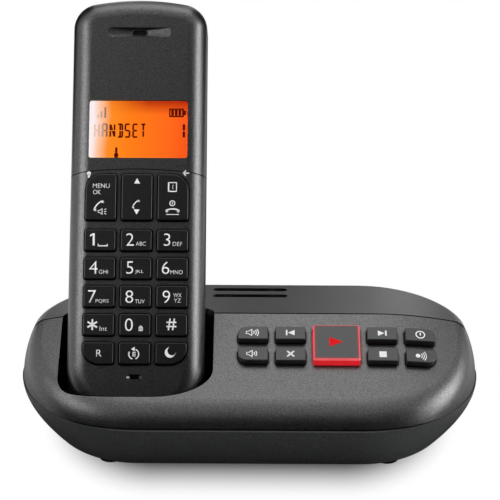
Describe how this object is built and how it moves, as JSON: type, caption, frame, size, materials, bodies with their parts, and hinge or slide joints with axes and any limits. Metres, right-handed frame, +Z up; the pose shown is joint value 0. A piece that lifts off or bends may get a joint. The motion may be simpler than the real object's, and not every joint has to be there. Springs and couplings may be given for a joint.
{
  "type": "telephone answering machine",
  "caption": "Low oval answering machine base with a sloping key panel and a cordless handset with a keypad and display standing in its cradle.",
  "frame": {"origin": "centre of the footprint's bounding box, on the surface that the rubber feet stand on", "axes": "+X to the right along the long side of the base, +Y to the rear, +Z up; the keys face -Y"},
  "size_m": [0.1658, 0.1049, 0.1438],
  "materials": {
    "charcoal_plastic": "fine texture",
    "black_plastic": "matt",
    "grey_key_plastic": "smooth matt",
    "dark_key_plastic": "smooth matt",
    "red_plastic": "translucent gloss",
    "board": "satin",
    "mat_rubber": "matt",
    "foot_rubber": "matt",
    "steel": "satin",
    "contact_metal": "polished",
    "cell_casing": "satin",
    "window": "clear gloss",
    "display": "backlit"
  },
  "bodies": {
    "base": {"base_lower_shell": "charcoal_plastic", "base_fascia": "charcoal_plastic", "base_rear_cover": "charcoal_plastic", "handset_cradle": "black_plastic", "keypad_board": "board", "base_key_mat": "mat_rubber", "main_board": "board", "base_antenna": "steel", "loudspeaker_frame": "steel", "loudspeaker_cone": "black_plastic", "power_socket": "black_plastic", "line_socket": "black_plastic", "charging_pins": "contact_metal", "rubber_feet": "foot_rubber", "base_screws": "steel"},
    "handset": {"handset_keypad_cover": "charcoal_plastic", "handset_display_cover": "charcoal_plastic", "handset_back_shell": "charcoal_plastic", "display_window": "window", "display_module": "display", "handset_board": "board", "handset_key_mat": "mat_rubber", "earpiece_speaker": "black_plastic", "microphone": "black_plastic", "ringer_speaker": "black_plastic", "battery_cells": "cell_casing", "battery_contacts": "steel", "handset_contacts": "contact_metal"},
    "battery_cover": {"battery_cover": "charcoal_plastic"},
    "play_key": {"play_key_skirt": "red_plastic", "play_key_cap": "grey_key_plastic"},
    "volume_up_key": {"volume_up_key": "grey_key_plastic"},
    "volume_down_key": {"volume_down_key": "grey_key_plastic"},
    "previous_key": {"previous_key": "grey_key_plastic"},
    "delete_key": {"delete_key": "grey_key_plastic"},
    "next_key": {"next_key": "grey_key_plastic"},
    "stop_key": {"stop_key": "grey_key_plastic"},
    "power_key": {"power_key": "grey_key_plastic"},
    "locate_key": {"locate_key": "grey_key_plastic"},
    "menu_talk_key": {"menu_talk_key": "dark_key_plastic"},
    "up_down_key": {"up_down_key": "dark_key_plastic"},
    "book_end_key": {"book_end_key": "dark_key_plastic"},
    "recall_key": {"recall_key": "dark_key_plastic"},
    "redial_key": {"redial_key": "dark_key_plastic"},
    "mute_key": {"mute_key": "dark_key_plastic"},
    "star_key": {"star_key": "dark_key_plastic"},
    "digit_0_key": {"digit_0_key": "dark_key_plastic"},
    "hash_key": {"hash_key": "dark_key_plastic"},
    "digit_7_key": {"digit_7_key": "dark_key_plastic"},
    "digit_8_key": {"digit_8_key": "dark_key_plastic"},
    "digit_9_key": {"digit_9_key": "dark_key_plastic"},
    "digit_4_key": {"digit_4_key": "dark_key_plastic"},
    "digit_5_key": {"digit_5_key": "dark_key_plastic"},
    "digit_6_key": {"digit_6_key": "dark_key_plastic"},
    "digit_1_key": {"digit_1_key": "dark_key_plastic"},
    "digit_2_key": {"digit_2_key": "dark_key_plastic"},
    "digit_3_key": {"digit_3_key": "dark_key_plastic"}
  },
  "joints": [
    {"name": "volume_up_key_press", "type": "slide", "parent": "base", "child": "volume_up_key", "axis": [0, 0.4462, -0.8949], "range_m": [0, 0.0008], "stiffness_N_per_m": 400, "springref_m": -0.0005},
    {"name": "volume_down_key_press", "type": "slide", "parent": "base", "child": "volume_down_key", "axis": [0, 0.4462, -0.8949], "range_m": [0, 0.0008], "stiffness_N_per_m": 400, "springref_m": -0.0005},
    {"name": "previous_key_press", "type": "slide", "parent": "base", "child": "previous_key", "axis": [0, 0.4462, -0.8949], "range_m": [0, 0.0008], "stiffness_N_per_m": 400, "springref_m": -0.0005},
    {"name": "delete_key_press", "type": "slide", "parent": "base", "child": "delete_key", "axis": [0, 0.4462, -0.8949], "range_m": [0, 0.0008], "stiffness_N_per_m": 400, "springref_m": -0.0005},
    {"name": "next_key_press", "type": "slide", "parent": "base", "child": "next_key", "axis": [-0.0137, 0.4462, -0.8948], "range_m": [0, 0.0008], "stiffness_N_per_m": 400, "springref_m": -0.0005},
    {"name": "stop_key_press", "type": "slide", "parent": "base", "child": "stop_key", "axis": [-0.0137, 0.4462, -0.8948], "range_m": [0, 0.0008], "stiffness_N_per_m": 400, "springref_m": -0.0005},
    {"name": "power_key_press", "type": "slide", "parent": "base", "child": "power_key", "axis": [-0.0944, 0.4442, -0.8909], "range_m": [0, 0.0008], "stiffness_N_per_m": 400, "springref_m": -0.0005},
    {"name": "locate_key_press", "type": "slide", "parent": "base", "child": "locate_key", "axis": [-0.0944, 0.4442, -0.8909], "range_m": [0, 0.0008], "stiffness_N_per_m": 400, "springref_m": -0.0005},
    {"name": "play_key_press", "type": "slide", "parent": "base", "child": "play_key", "axis": [0, 0.4462, -0.8949], "range_m": [0, 0.0008], "stiffness_N_per_m": 500, "springref_m": -0.0005},
    {"name": "handset_lift", "type": "slide", "parent": "base", "child": "handset", "axis": [0, 0.5299, 0.848], "range_m": [0, 0.08]},
    {"name": "battery_cover_slide", "type": "slide", "parent": "handset", "child": "battery_cover", "axis": [0, -0.5299, -0.848], "range_m": [0, 0.004]},
    {"name": "menu_talk_key_rock", "type": "hinge", "parent": "handset", "child": "menu_talk_key", "pos_m": [-0.05315, -0.00167, 0.08152], "axis": [1, 0, 0], "range_deg": [-2, 2], "stiffness_Nm_per_rad": 0.6},
    {"name": "up_down_key_rock", "type": "hinge", "parent": "handset", "child": "up_down_key", "pos_m": [-0.0403, -0.00167, 0.08152], "axis": [1, 0, 0], "range_deg": [-2, 2], "stiffness_Nm_per_rad": 0.6},
    {"name": "book_end_key_rock", "type": "hinge", "parent": "handset", "child": "book_end_key", "pos_m": [-0.02745, -0.00167, 0.08152], "axis": [1, 0, 0], "range_deg": [-2, 2], "stiffness_Nm_per_rad": 0.6},
    {"name": "recall_key_press", "type": "slide", "parent": "handset", "child": "recall_key", "axis": [0, 0.848, -0.5299], "range_m": [0, 0.0005], "stiffness_N_per_m": 400, "springref_m": -0.0005},
    {"name": "redial_key_press", "type": "slide", "parent": "handset", "child": "redial_key", "axis": [0, 0.848, -0.5299], "range_m": [0, 0.0005], "stiffness_N_per_m": 400, "springref_m": -0.0005},
    {"name": "mute_key_press", "type": "slide", "parent": "handset", "child": "mute_key", "axis": [0, 0.848, -0.5299], "range_m": [0, 0.0005], "stiffness_N_per_m": 400, "springref_m": -0.0005},
    {"name": "star_key_press", "type": "slide", "parent": "handset", "child": "star_key", "axis": [0, 0.848, -0.5299], "range_m": [0, 0.0005], "stiffness_N_per_m": 400, "springref_m": -0.0005},
    {"name": "digit_0_key_press", "type": "slide", "parent": "handset", "child": "digit_0_key", "axis": [0, 0.848, -0.5299], "range_m": [0, 0.0005], "stiffness_N_per_m": 400, "springref_m": -0.0005},
    {"name": "hash_key_press", "type": "slide", "parent": "handset", "child": "hash_key", "axis": [0, 0.848, -0.5299], "range_m": [0, 0.0005], "stiffness_N_per_m": 400, "springref_m": -0.0005},
    {"name": "digit_7_key_press", "type": "slide", "parent": "handset", "child": "digit_7_key", "axis": [0, 0.848, -0.5299], "range_m": [0, 0.0005], "stiffness_N_per_m": 400, "springref_m": -0.0005},
    {"name": "digit_8_key_press", "type": "slide", "parent": "handset", "child": "digit_8_key", "axis": [0, 0.848, -0.5299], "range_m": [0, 0.0005], "stiffness_N_per_m": 400, "springref_m": -0.0005},
    {"name": "digit_9_key_press", "type": "slide", "parent": "handset", "child": "digit_9_key", "axis": [0, 0.848, -0.5299], "range_m": [0, 0.0005], "stiffness_N_per_m": 400, "springref_m": -0.0005},
    {"name": "digit_4_key_press", "type": "slide", "parent": "handset", "child": "digit_4_key", "axis": [0, 0.848, -0.5299], "range_m": [0, 0.0005], "stiffness_N_per_m": 400, "springref_m": -0.0005},
    {"name": "digit_5_key_press", "type": "slide", "parent": "handset", "child": "digit_5_key", "axis": [0, 0.848, -0.5299], "range_m": [0, 0.0005], "stiffness_N_per_m": 400, "springref_m": -0.0005},
    {"name": "digit_6_key_press", "type": "slide", "parent": "handset", "child": "digit_6_key", "axis": [0, 0.848, -0.5299], "range_m": [0, 0.0005], "stiffness_N_per_m": 400, "springref_m": -0.0005},
    {"name": "digit_1_key_press", "type": "slide", "parent": "handset", "child": "digit_1_key", "axis": [0, 0.848, -0.5299], "range_m": [0, 0.0005], "stiffness_N_per_m": 400, "springref_m": -0.0005},
    {"name": "digit_2_key_press", "type": "slide", "parent": "handset", "child": "digit_2_key", "axis": [0, 0.848, -0.5299], "range_m": [0, 0.0005], "stiffness_N_per_m": 400, "springref_m": -0.0005},
    {"name": "digit_3_key_press", "type": "slide", "parent": "handset", "child": "digit_3_key", "axis": [0, 0.848, -0.5299], "range_m": [0, 0.0005], "stiffness_N_per_m": 400, "springref_m": -0.0005}
  ]
}
